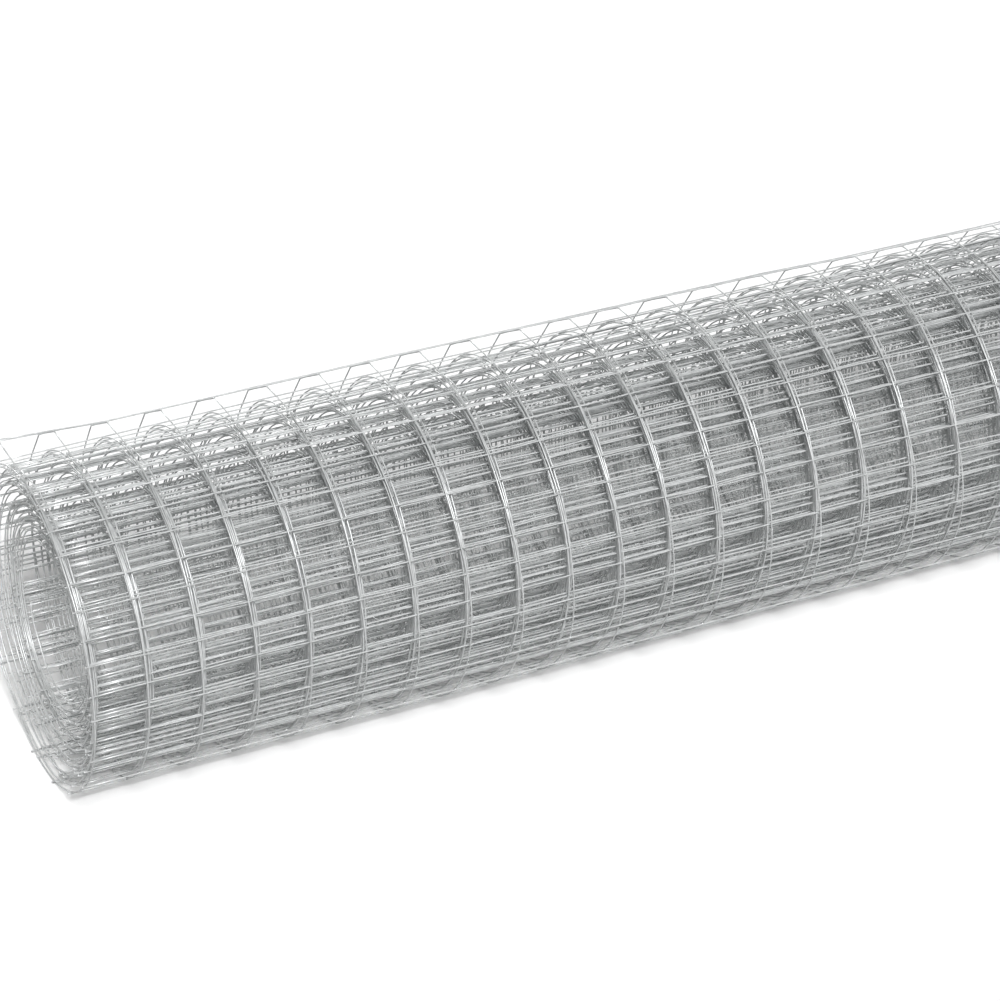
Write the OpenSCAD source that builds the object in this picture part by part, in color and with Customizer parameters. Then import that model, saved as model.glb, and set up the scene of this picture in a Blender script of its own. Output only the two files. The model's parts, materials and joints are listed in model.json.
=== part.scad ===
// Roll of galvanised welded wire fencing, lying on its side.
// The roll's axis runs along X, and the floor is at Z = 0 under the middle of the roll.
// The wound mesh is one round wall with an open core. The gap between the turns is cut
// into both ends as a spiral, and the outer turn stands off the rest over the top.

$fn = 96;

/* [Mesh] */
// Spacing of the line wires, which run round the roll
mesh_w = 25.4; // [12:0.1:50]
// Meshes across the width of the fencing
meshes = 24; // [6:1:40]
// Diameter of the wire
wire_d = 0.7; // [0.5:0.05:1.1]
// Length of cross wire that stands past the outer line wires
stub = 1.5; // [0.5:0.5:6]

/* [Roll] */
// Diameter of the open core
bore_d = 82; // [60:1:120]
// Turns of mesh in the wall
turns = 19; // [5:1:30]
// Open gap between one turn and the next
turn_gap = 0.43; // [0.2:0.01:2]
// Depth to which the ends show the gap between the turns
gap_depth = 6; // [2:0.5:30]

/* [Loose outer turn] */
// Height to which the loose turn stands off the roll
loose_lift = 6; // [3:0.5:12]
// Direction in which it stands off, up from the level at the back
loose_dir = 65; // [30:1:110]
// Angle to each side over which it is clear of the roll
loose_half = 50; // [35:1:65]

/* [Hidden] */

// A turn is one cross wire lying on one line wire, with the open gap outside it.
sheet = 2 * wire_d;
layer = sheet + turn_gap;

bore_r = bore_d / 2;
roll_r = bore_r + turns * layer;
roll_l = meshes * mesh_w + 2 * stub;

// The spiral is made of half turns about two centres, a quarter layer to each side.
centre_shift = layer / 4;
// The gap starts past the first turn and ends before the outer one, which lies on the turn under it.
half_turns = 2 * turns - 4;
// How far a cut runs out past the end face
cut_over = 1;

// The loose turn is an arc of its own, smaller circle, which meets the roll at loose_half.
loose_shift = loose_lift * (2 * roll_r + loose_lift) / (2 * (roll_r * (1 - cos(loose_half)) + loose_lift));
loose_r = roll_r + loose_lift - loose_shift;

// Turns a section that was drawn in X and Y, along Z, so that it runs along the roll's axis.
module along_roll() {
    translate([0, 0, roll_r]) rotate([90, 0, 90]) children();
}

// A disc about the centre of the loose turn's own arc
module loose_disc(radius) {
    rotate(loose_dir) translate([loose_shift, 0]) circle(radius);
}

// The open crescent that the outer turn leaves where it stands off the turn under it
module loose_gap() {
    difference() {
        loose_disc(loose_r - sheet);
        circle(roll_r - sheet);
    }
}

// The wall of wound mesh in outline, with its bore and the loose outer turn
module wall_outline() {
    difference() {
        union() {
            circle(roll_r);
            loose_disc(loose_r);
        }
        loose_gap();
        circle(bore_r);
    }
}

// Half of a ring of rectangular section
module half_ring(inner_r, width, length) {
    rotate_extrude(angle = 180) translate([inner_r, 0]) square([width, length]);
}

// The open gap between the turns, as a spiral that grows from the core outwards.
module spiral_gap(length) {
    for (k = [0 : half_turns - 1]) {
        side = k % 2 == 0 ? 1 : -1;
        translate([side * centre_shift, 0, 0])
            rotate([0, 0, side > 0 ? 0 : 180])
                half_ring(bore_r + sheet + k * layer / 2, turn_gap, length);
    }
}

module mesh_roll() {
    color("silver") along_roll() difference() {
        translate([0, 0, -roll_l / 2]) linear_extrude(roll_l) wall_outline();
        translate([0, 0, roll_l / 2 - gap_depth]) spiral_gap(gap_depth + cut_over);
        translate([0, 0, -roll_l / 2 - cut_over]) spiral_gap(gap_depth + cut_over);
    }
}

mesh_roll();
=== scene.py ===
"""Looks of a lying roll of galvanised welded wire fencing.

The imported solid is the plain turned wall. Here the wall is replaced by the wires themselves:
line wires that wind round the roll in a spiral, cross wires that lie on the outside of them,
and a weld where two wires cross. Lengths are in metres. Angles go round the roll's axis:
0 is the front, 90 degrees the top, 180 the back. Along the strip a place is given in turns,
counted from the start of the wall at the core.
"""

import json
import math

import bpy
import numpy as np
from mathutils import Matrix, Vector


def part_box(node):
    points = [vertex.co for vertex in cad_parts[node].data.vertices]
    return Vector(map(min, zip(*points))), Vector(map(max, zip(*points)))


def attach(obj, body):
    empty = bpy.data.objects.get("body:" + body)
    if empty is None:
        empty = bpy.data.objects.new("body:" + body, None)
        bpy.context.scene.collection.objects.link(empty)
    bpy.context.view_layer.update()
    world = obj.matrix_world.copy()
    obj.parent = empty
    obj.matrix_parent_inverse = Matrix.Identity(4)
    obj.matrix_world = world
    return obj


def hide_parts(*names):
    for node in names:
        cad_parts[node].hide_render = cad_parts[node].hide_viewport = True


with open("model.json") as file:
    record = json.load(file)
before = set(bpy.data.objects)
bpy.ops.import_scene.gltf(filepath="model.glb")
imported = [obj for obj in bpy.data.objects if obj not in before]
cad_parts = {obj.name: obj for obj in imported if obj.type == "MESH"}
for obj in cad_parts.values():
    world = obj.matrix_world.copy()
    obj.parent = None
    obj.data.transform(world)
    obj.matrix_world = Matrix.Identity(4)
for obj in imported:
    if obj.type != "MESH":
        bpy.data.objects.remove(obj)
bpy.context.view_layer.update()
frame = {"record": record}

FULL_TURN = 2 * math.pi
X_AXIS = np.array([1.0, 0.0, 0.0])

# The mesh
MESH = 0.0254
WIRE = 0.0007
STUB = 0.0015
# How far a cross wire sinks into the line wires that it is welded to
WELD_SINK = 0.1 * WIRE
# Half sizes of a weld's bead in wire diameters, along both wires and out, and their spread
BEAD = np.array([0.62, 0.62, 0.86])
BEAD_SPREAD = 0.12

# The roll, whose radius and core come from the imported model
roll_low, roll_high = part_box("mesh_roll")
core = next(m for m in frame["record"]["mounts"] if m["name"] == "core_bore")
AXIS_Z = core["pos_m"][2]
ROLL_R = AXIS_Z - roll_low.z
BORE_R = core["dims"]["r_mm"] / 1000
# Radius of the outer turn's line wires, whose cross wires touch the floor
OUTER_R = ROLL_R - 1.5 * WIRE + WELD_SINK
MESHES = round((roll_high.x - roll_low.x - 2 * STUB) / MESH)
LINE_X = (np.arange(MESHES + 1) - MESHES / 2) * MESH

# A wire has few sides, on a circle so much wider that it shows the wire's full width.
SIDES = 6
TUBE_R = WIRE / 2 * (math.pi / SIDES) / math.sin(math.pi / SIDES)

# The winding: its turns, the points in each, and the angle at which the strip ends
TURNS = 19.0
CURL_TURNS = 0.95
STEPS = 60
END_ANGLE = math.radians(172)
# The wall has its full radius from here on, and its turns come no closer than this.
FULL_FROM = TURNS - 0.75
CLOSEST = 1.92 * WIRE
# Lengths of line wire before the first cross wire and past the last one
START_TAIL = 0.1 * MESH
END_TAIL = 0.31 * MESH

# How the turns lie in the wall. A height goes with the middle and half width of its angle.
UNEVEN = 0.0004
RISE, RISE_ANGLE, RISE_HALF = 0.0024, math.radians(118), math.radians(70)
RISE_TURNS = 10
PARTED, PARTED_ANGLE, PARTED_HALF = 0.0026, math.radians(-48), math.radians(48)
PARTED_FROM, PARTED_TO = -0.3, 4.36
STAND_OFF, STAND_OFF_ANGLE, STAND_OFF_HALF = 0.0022, math.radians(-32), math.radians(50)
STAND_OFF_FROM, STAND_OFF_TO = 6, TURNS - 1 - 0.05
CURL, CURL_POWER = 0.010, 1.3
SHEET_WAVE = 0.00008

# The loose outer turn over the top: the angles of its cross wires, between which it is straight.
# It stands off the roll at the middle two.
LOOSE_FROM = TURNS - 0.6
LOOSE_KNOTS = np.radians([77.0, 95.0, 112.0, 129.5, 147.0, 165.0, 183.0])
LOOSE_SHARES = [0.0, 0.45, 1.0, 1.0, 0.65, 0.3, 0.1]
# Height to which it stands off along the roll, both in meshes
LIFT_RING = [0, 2, 8, 10.5, 15.5, 17, 20]
LIFT = [0.46, 0.35, 0.325, 0.3, 0.265, 0.22, 0.2]

# Inner turns lie further along the axis, up to a depth in the wall.
TELESCOPE = 0.42
TELESCOPE_DEPTH = 0.8 * MESH
# The turns wander along the axis, the inner ones less, and the outer end not at all.
WANDER = 0.034 * MESH
WANDER_LEAST, WANDER_FROM, WANDER_TURNS = 0.25, 4, 9
# How far the outer turn's line wires lie to the right of the others at the lower front,
# growing over some meshes from the third line wire on
OUTER_FROM = TURNS - 0.95
OUTER_SHIFT = 0.11 * MESH
OUTER_ANGLE, OUTER_HALF = math.radians(-30), math.radians(70)
OUTER_MESHES = 6

# Sway of single wires, and how far cross wires lie out of square and past each other
LINE_SWAY = 0.008 * MESH
CROSS_SWAY = 0.00022
TILT_SPREAD, TILT_WAVE, TILT_PACE = 0.0016, 0.003, 0.31
END_SPREAD = 0.0002

# The zinc: its darkest and lightest colour, its roughness, and the size of its variation
ZINC_DARK = (0.49, 0.502, 0.503, 1)
ZINC_LIGHT = (0.68, 0.694, 0.695, 1)
ZINC_METALLIC = 0.3
ZINC_ROUGHNESS = (0.28, 0.5)
SPANGLE_SCALE, DULL_SCALE, GRAIN_SCALE = 260, 90, 2600
GRAIN_STRENGTH, GRAIN_HEIGHT = 0.25, 0.00005

# The photograph's view
SENSOR_MM, LENS_MM = 36, 149.88
EYE = (-0.78085, -1.49037, 1.09486)
EYE_DOWN, EYE_RIGHT = math.radians(90 - 31.537), math.radians(-25.3255)

# The light: a high lamp at the front and a low, weaker one at the back, in a dim room with a
# soft ceiling light
KEY = 4.4
KEY_SPREAD = math.radians(16)
KEY_AIM = Vector((0.28, 0.92, -0.92))
BACK = 1.8
BACK_SPREAD = math.radians(30)
BACK_AIM = Vector((-0.15, -0.95, -0.25))
ROOM = 0.02
CEILING = 0.105
CEILING_FROM, CEILING_FULL = 0.4, 0.7
HORIZON_FULL, HORIZON_TO = 0.13, 0.3
# The floor's colour as it is seen, and as the light that it throws back shows it
FLOOR_SEEN = (0.96, 0.96, 0.96, 1)
FLOOR_BOUNCE = (0.03, 0.03, 0.03, 1)
FLOOR_HALF = 6.0
FLOOR_Z = -0.0002
FLOOR_ROUGHNESS = 0.9

rng = np.random.default_rng(7)
# This seed winds the turns so that their cross wires lie evenly, as in the photo.
winding_rng = np.random.default_rng(1996)


def bump(angle, middle, half):
    """1 at the middle and 0 from half on, to both sides, round a full turn."""
    off = (angle - middle + math.pi) % FULL_TURN - math.pi
    u = np.clip(np.abs(off) / half, 0, 1)
    return (1 - u ** 2) ** 1.5


def angle_at(turn):
    """Angle round the axis of a place along the strip."""
    return END_ANGLE - FULL_TURN * (TURNS - turn)


def smooth_noise(place, count, slowest, quickest, source=rng):
    """Waves of random phase along a place, with a spread of about 1."""
    total = np.zeros_like(place)
    for pace in np.linspace(slowest, quickest, count):
        total += np.sin(FULL_TURN * pace * place + source.uniform(0, FULL_TURN))
    return total * math.sqrt(2 / count)


def wall_radius():
    """Radius of the line wires along the strip, before the loose outer turn is lifted."""
    turn = np.arange(-round(CURL_TURNS * STEPS), round(TURNS * STEPS) + 1) / STEPS
    angle = angle_at(turn)
    inner_r = BORE_R + WIRE / 2
    radius = inner_r + (OUTER_R - inner_r) * np.minimum(turn, FULL_FROM) / FULL_FROM

    # The turns lie unevenly, and neighbours follow each other.
    uneven = smooth_noise(turn, 6, 0.93, 3.1, winding_rng)
    radius += UNEVEN * uneven * np.clip((TURNS - 1 - turn) / 2, 0, 1)

    # The turns under the loose one rise with it.
    rise = bump(angle, RISE_ANGLE, RISE_HALF)
    radius += RISE * rise * np.clip(1 - (TURNS - 1 - turn) / RISE_TURNS, 0, 1)

    # The turns next to the core are parted from the rest at the lower front.
    parted = bump(angle, PARTED_ANGLE, PARTED_HALF)
    radius -= PARTED * parted * (turn < PARTED_TO) * (turn > PARTED_FROM)

    # The outer turn stands off a little at the lower front, so the others lie deeper there.
    stand_off = bump(angle, STAND_OFF_ANGLE, STAND_OFF_HALF)
    radius -= STAND_OFF * stand_off * (turn < STAND_OFF_TO) * (turn > STAND_OFF_FROM)

    # The inner end of the strip curls into the core.
    radius -= CURL * np.clip(-turn, 0, None) ** CURL_POWER

    # No turn lies in the one outside it.
    for i in range(len(radius) - 1, STEPS - 1, -1):
        radius[i - STEPS] = min(radius[i - STEPS], radius[i] - CLOSEST)
    return turn, radius


# What follows is drawn in this order: the wall, the waves across the strip, the phase of the
# cross wires' tilt, which is the last of three, and the waves of the turns along the axis.
wall_turn, wall_r = wall_radius()
sheet_waves = [
    (rng.uniform(3, 22), rng.uniform(0.2, 2.4), rng.uniform(0, FULL_TURN)) for _ in range(10)
]
tilt_phase = rng.uniform(0, FULL_TURN, 3)[2]
drift_waves = [(pace, rng.uniform(0, FULL_TURN)) for pace in np.linspace(0.19, 0.83, 5)]


def loose_radius(angle, x):
    """Radius of the loose turn, as straight lines between its knots, or 0 beside them."""
    lift = MESH * np.interp((x - LINE_X[0]) / MESH, LIFT_RING, LIFT)
    radius = np.zeros(np.broadcast(angle, x).shape)
    heights = [OUTER_R + share * lift for share in LOOSE_SHARES]
    for k in range(len(LOOSE_KNOTS) - 1):
        a, b = LOOSE_KNOTS[k], LOOSE_KNOTS[k + 1]
        chord = heights[k] * heights[k + 1] * math.sin(b - a)
        chord = chord / (heights[k + 1] * np.sin(b - angle) + heights[k] * np.sin(angle - a))
        radius = np.where((angle >= a) & (angle <= b), chord, radius)
    return radius


def sheet_radius(turn, x):
    """Radius of the line wires at a place along the strip and across it."""
    radius = np.interp(turn, wall_turn, wall_r)
    for pace_x, pace_turn, phase in sheet_waves:
        radius = radius + SHEET_WAVE * np.sin(pace_x * x + FULL_TURN * pace_turn * turn + phase)
    lifted = np.maximum(radius, loose_radius(angle_at(turn), x))
    return np.where(turn > LOOSE_FROM, lifted, radius)


def sheet_shift(turn, x):
    """How far the strip lies along the axis from its place at the outer end."""
    depth = (ROLL_R - BORE_R) * (1 - turn / TURNS)
    drift = TELESCOPE * np.clip(depth, 0, TELESCOPE_DEPTH)
    wander = sum(np.sin(FULL_TURN * pace * turn + phase) for pace, phase in drift_waves)
    spread = WANDER * np.clip((turn - WANDER_FROM) / WANDER_TURNS, WANDER_LEAST, 1)
    spread = spread * np.clip(LOOSE_FROM - turn, 0, 1)
    drift = drift + spread * wander
    skew = bump(angle_at(turn), OUTER_ANGLE, OUTER_HALF) * (turn > OUTER_FROM)
    return drift + OUTER_SHIFT * skew * np.clip((x - LINE_X[2]) / (OUTER_MESHES * MESH), 0, 1)


def on_roll(x, radius, angle):
    """Points at a radius and an angle about the axis."""
    x, radius, angle = np.broadcast_arrays(x, radius, angle)
    return np.stack([x, -radius * np.cos(angle), AXIS_Z + radius * np.sin(angle)], -1)


def outward(angle):
    """Direction away from the axis."""
    return np.stack([np.zeros_like(angle), -np.cos(angle), np.sin(angle)], -1)


def around(angle):
    """Direction round the axis."""
    return np.stack([np.zeros_like(angle), np.sin(angle), np.cos(angle)], -1)


def tubes(paths, side_a, side_b):
    """Vertices and faces of round wires along paths, given two directions across each point."""
    wires, points = paths.shape[:2]
    turn = np.arange(SIDES) * FULL_TURN / SIDES
    ring = side_a[..., None, :] * np.cos(turn)[:, None]
    ring = ring + side_b[..., None, :] * np.sin(turn)[:, None]
    vertices = (paths[..., None, :] + TUBE_R * ring).reshape(-1, 3)
    index = np.arange(wires * points * SIDES).reshape(wires, points, SIDES)
    here, after = index[:, :-1], index[:, 1:]
    quads = np.stack([here, np.roll(here, -1, 2), np.roll(after, -1, 2), after], -1)
    caps = np.concatenate([index[:, 0, ::-1], index[:, -1]])
    return vertices, quads.reshape(-1, 4).tolist() + caps.tolist()


def add_piece(name, vertices, faces, material):
    """A mesh of many wires or welds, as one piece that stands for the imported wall."""
    mesh = bpy.data.meshes.new(name)
    mesh.from_pydata(vertices.tolist(), [], faces)
    mesh.shade_smooth()
    mesh.materials.append(material)
    piece = bpy.data.objects.new(name, mesh)
    bpy.context.scene.collection.objects.link(piece)
    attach(piece, "root")
    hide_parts("mesh_roll")


def line_wires(columns):
    """Line wires of some columns of the mesh, each wound from the core to the outer end."""
    angle = angle_at(wall_turn)
    paths = []
    for x in columns:
        along = x + sheet_shift(wall_turn, x) + LINE_SWAY * smooth_noise(wall_turn, 5, 0.6, 7.3)
        paths.append(on_roll(along, sheet_radius(wall_turn, x), angle))
    paths = np.array(paths)
    along_x = np.broadcast_to(X_AXIS, paths.shape)
    return tubes(paths, along_x, np.broadcast_to(outward(angle), paths.shape))


def cross_turns():
    """Places of the cross wires along the strip, one mesh apart, from the outer end inwards."""
    points = on_roll(0.0, sheet_radius(wall_turn, 0.0), angle_at(wall_turn))
    length = np.concatenate([[0], np.cumsum(np.linalg.norm(np.diff(points, axis=0), axis=1))])
    places = np.arange(length[-1] - END_TAIL, START_TAIL, -MESH)
    return np.interp(places, length, wall_turn)


def cross_wires(places):
    """Paths of the cross wires on the line wires, two points a mesh, and the points' angles."""
    across = LINE_X[0] + np.linspace(0, MESHES, 2 * MESHES + 1) * MESH
    across[0] -= STUB
    across[-1] += STUB
    paths, angles = [], []
    for turn in places:
        wave = math.sin(FULL_TURN * TILT_PACE * turn + tilt_phase)
        tilt = TILT_SPREAD * rng.normal() + TILT_WAVE * wave
        slip = tilt * across + CROSS_SWAY * smooth_noise(across, 4, 2.0, 19.0)
        here = turn + slip / (FULL_TURN * sheet_radius(turn, 0.0))
        angle = angle_at(here)
        radius = sheet_radius(here, across) + WIRE - WELD_SINK
        along = across + sheet_shift(turn, across) + rng.uniform(-END_SPREAD, END_SPREAD)
        paths.append(on_roll(along, radius, angle))
        angles.append(angle)
    return np.array(paths), np.array(angles)


def welds(paths, angles):
    """A low bead of zinc at every crossing, as a small squashed ball of two rings of points."""
    at = paths[:, ::2].reshape(-1, 3).copy()
    angle = angles[:, ::2].reshape(-1)
    out, along = outward(angle), around(angle)
    at -= out * (WIRE - WELD_SINK) / 2

    per_ring = 6
    lat = np.linspace(-math.pi / 2, math.pi / 2, 4)[1:-1]
    lon = np.arange(per_ring) * FULL_TURN / per_ring
    ball = [(math.cos(b) * math.cos(l), math.cos(b) * math.sin(l), math.sin(b))
            for b in lat for l in lon]
    ball = np.array([(0, 0, -1)] + ball + [(0, 0, 1)])
    local = ball[None] * BEAD * (WIRE * (1 + BEAD_SPREAD * rng.normal(size=(len(at), 1, 1))))
    vertices = at[:, None] + local[..., :1] * X_AXIS
    vertices = vertices + local[..., 1:2] * along[:, None] + local[..., 2:] * out[:, None]

    low, high, last = 1, 1 + per_ring, len(ball) - 1
    caps, quads = [], []
    for k in range(per_ring):
        n = (k + 1) % per_ring
        caps += [(0, low + n, low + k), (last, high + k, high + n)]
        quads.append((low + k, low + n, high + n, high + k))
    start = (np.arange(len(at)) * len(ball))[:, None, None]
    faces = (start + np.array(caps)).reshape(-1, 3).tolist()
    faces += (start + np.array(quads)).reshape(-1, 4).tolist()
    return vertices.reshape(-1, 3), faces


def galvanised():
    """Bright zinc with faint spangle, duller patches and a fine grain."""
    material = bpy.data.materials.new("galvanised_wire")
    material.use_nodes = True
    nodes, links = material.node_tree.nodes, material.node_tree.links
    shader = nodes["Principled BSDF"]
    shader.inputs["Metallic"].default_value = ZINC_METALLIC
    place = nodes.new("ShaderNodeTexCoord")

    def noise(scale, detail):
        node = nodes.new("ShaderNodeTexNoise")
        node.inputs["Scale"].default_value = scale
        node.inputs["Detail"].default_value = detail
        links.new(place.outputs["Object"], node.inputs["Vector"])
        return node.outputs["Fac"]

    tint = nodes.new("ShaderNodeValToRGB")
    dark, light_end = tint.color_ramp.elements
    dark.position, dark.color = 0.3, ZINC_DARK
    light_end.position, light_end.color = 0.7, ZINC_LIGHT
    links.new(noise(SPANGLE_SCALE, 3), tint.inputs["Fac"])
    links.new(tint.outputs["Color"], shader.inputs["Base Color"])

    dull = nodes.new("ShaderNodeMapRange")
    dull.inputs["To Min"].default_value, dull.inputs["To Max"].default_value = ZINC_ROUGHNESS
    links.new(noise(DULL_SCALE, 2), dull.inputs["Value"])
    links.new(dull.outputs["Result"], shader.inputs["Roughness"])

    grain = nodes.new("ShaderNodeBump")
    grain.inputs["Strength"].default_value = GRAIN_STRENGTH
    grain.inputs["Distance"].default_value = GRAIN_HEIGHT
    links.new(noise(GRAIN_SCALE, 2), grain.inputs["Height"])
    links.new(grain.outputs["Normal"], shader.inputs["Normal"])
    return material


def camera():
    """The view of the photograph."""
    data = bpy.data.cameras.new("camera")
    data.sensor_width = SENSOR_MM
    data.lens = LENS_MM
    eye = bpy.data.objects.new("camera", data)
    eye.location = EYE
    eye.rotation_euler = (EYE_DOWN, 0, EYE_RIGHT)
    bpy.context.scene.collection.objects.link(eye)
    bpy.context.scene.camera = eye


def combine(nodes, links, operation, first, second):
    """A value that a node works out from two others."""
    node = nodes.new("ShaderNodeMath")
    node.operation = operation
    links.new(first, node.inputs[0])
    links.new(second, node.inputs[1])
    return node.outputs[0]


def seen_directly(nodes, links):
    """1 for rays that show the background: to the camera, in a reflection or through glass."""
    path = nodes.new("ShaderNodeLightPath").outputs
    seen = combine(nodes, links, "MAXIMUM", path["Is Camera Ray"], path["Is Glossy Ray"])
    return combine(nodes, links, "MAXIMUM", seen, path["Is Transmission Ray"])


def floor():
    """A plain white floor."""
    far = FLOOR_HALF
    corners = [(-far, -far, 0), (far, -far, 0), (far, far, 0), (-far, far, 0)]
    mesh = bpy.data.meshes.new("floor")
    mesh.from_pydata(corners, [], [(0, 1, 2, 3)])
    plane = bpy.data.objects.new("floor", mesh)
    plane.location.z = FLOOR_Z
    bpy.context.scene.collection.objects.link(plane)
    material = bpy.data.materials.new("floor")
    material.use_nodes = True
    nodes, links = material.node_tree.nodes, material.node_tree.links
    shader = nodes["Principled BSDF"]
    # The node's sockets for colours go by number: the share, the two colours and the result.
    colour = nodes.new("ShaderNodeMix")
    colour.data_type = "RGBA"
    colour.inputs[6].default_value = FLOOR_BOUNCE
    colour.inputs[7].default_value = FLOOR_SEEN
    links.new(seen_directly(nodes, links), colour.inputs[0])
    links.new(colour.outputs[2], shader.inputs["Base Color"])
    shader.inputs["Roughness"].default_value = FLOOR_ROUGHNESS
    shader.inputs["Specular IOR Level"].default_value = 0.0
    mesh.materials.append(material)


def lamp(name, energy, spread, aim):
    """A wide, far lamp that shines in a direction."""
    data = bpy.data.lights.new(name, "SUN")
    data.energy = energy
    data.angle = spread
    holder = bpy.data.objects.new(name, data)
    holder.rotation_euler = aim.to_track_quat("-Z", "Y").to_euler()
    bpy.context.scene.collection.objects.link(holder)


def light():
    """Light from two lamps, in a dim room with a soft ceiling light and a white horizon."""
    world = bpy.data.worlds.new("studio")
    bpy.context.scene.world = world
    world.use_nodes = True
    nodes, links = world.node_tree.nodes, world.node_tree.links
    background = nodes["Background"]
    background.inputs["Color"].default_value = (1, 1, 1, 1)
    place = nodes.new("ShaderNodeTexCoord")
    split = nodes.new("ShaderNodeSeparateXYZ")
    links.new(place.outputs["Generated"], split.inputs[0])

    def by_height(low_z, high_z, low_value, high_value):
        node = nodes.new("ShaderNodeMapRange")
        node.inputs["From Min"].default_value = low_z
        node.inputs["From Max"].default_value = high_z
        node.inputs["To Min"].default_value = low_value
        node.inputs["To Max"].default_value = high_value
        links.new(split.outputs["Z"], node.inputs["Value"])
        return node.outputs["Result"]

    # The horizon is white only where it is seen, and gives no light.
    ceiling = by_height(CEILING_FROM, CEILING_FULL, ROOM, CEILING)
    horizon = by_height(HORIZON_FULL, HORIZON_TO, 1.0, 0.0)
    horizon = combine(nodes, links, "MULTIPLY", seen_directly(nodes, links), horizon)
    strength = combine(nodes, links, "MAXIMUM", ceiling, horizon)
    links.new(strength, background.inputs["Strength"])

    lamp("key", KEY, KEY_SPREAD, KEY_AIM)
    lamp("back", BACK, BACK_SPREAD, BACK_AIM)


camera()
zinc = galvanised()
half = len(LINE_X) // 2
add_piece("line_wires_left", *line_wires(LINE_X[:half]), zinc)
add_piece("line_wires_right", *line_wires(LINE_X[half:]), zinc)
cross_paths, cross_angles = cross_wires(cross_turns())
cross_tubes = tubes(cross_paths, around(cross_angles), outward(cross_angles))
add_piece("cross_wires", *cross_tubes, zinc)
add_piece("welds", *welds(cross_paths, cross_angles), zinc)
floor()
light()

bpy.context.scene.view_settings.view_transform = "Standard"
